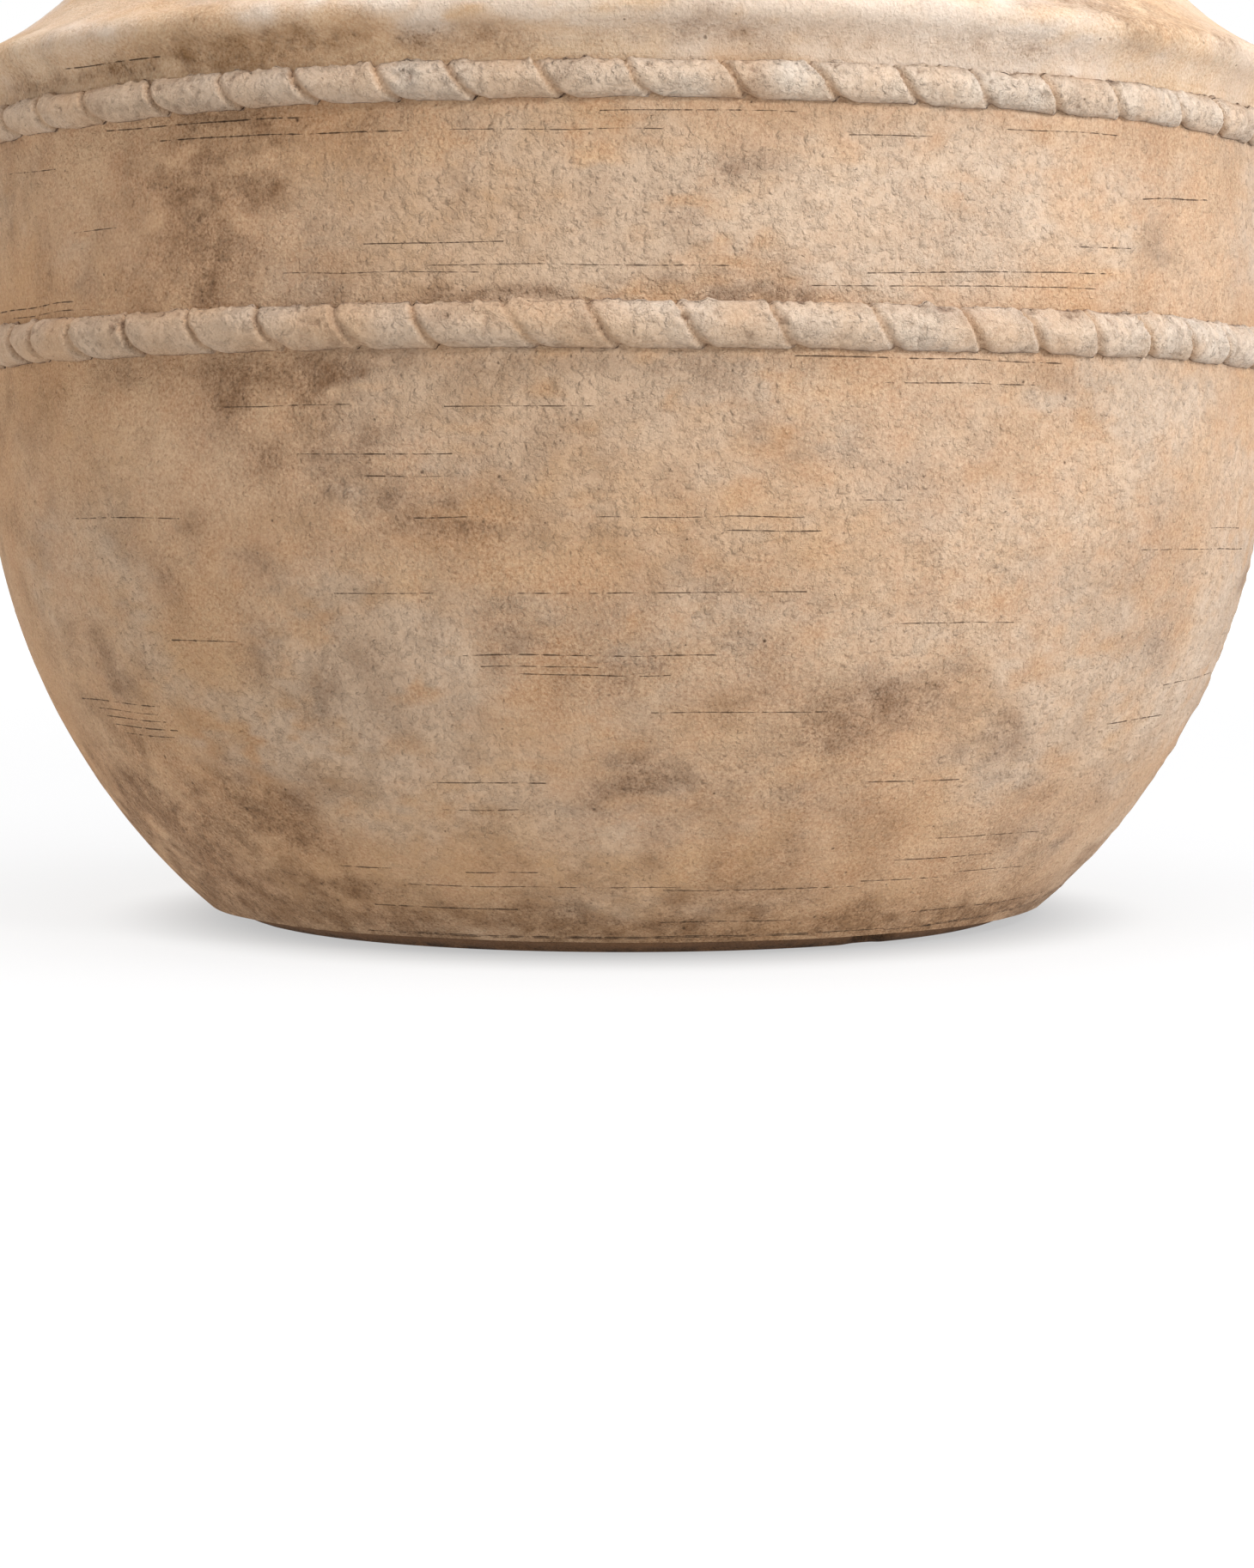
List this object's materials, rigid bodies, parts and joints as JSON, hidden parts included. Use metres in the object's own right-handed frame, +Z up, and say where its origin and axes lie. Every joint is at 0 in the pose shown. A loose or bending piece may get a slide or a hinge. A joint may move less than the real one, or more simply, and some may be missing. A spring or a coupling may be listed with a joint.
{
  "type": "pithos",
  "caption": "Wide round-bellied clay storage jar raised from scarf-jointed rings, with applied rope bands, a ledged shoulder and a rolled rim.",
  "frame": {"origin": "centre of the flat underside of the floor slab", "axes": "+Z up along the jar's axis of revolution, -Y towards the viewer of the picture, +X to the viewer's right"},
  "size_m": [0.6056, 0.6056, 0.5767],
  "materials": {
    "body_clay": "unglazed fired clay, brushed with lime slip, weathered",
    "rope_clay": "unglazed fired clay, paler and rubbed smooth on the crest"
  },
  "bodies": {
    "root": {"base_slab": "body_clay", "bowl_ring_lower": "body_clay", "bowl_ring_middle": "body_clay", "bowl_ring_upper": "body_clay", "belly_ring": "body_clay", "shoulder_ring": "body_clay", "neck_ring": "body_clay", "rim_coil": "body_clay", "rope_band_lower": "rope_clay", "rope_band_upper": "rope_clay"}
  },
  "joints": []
}
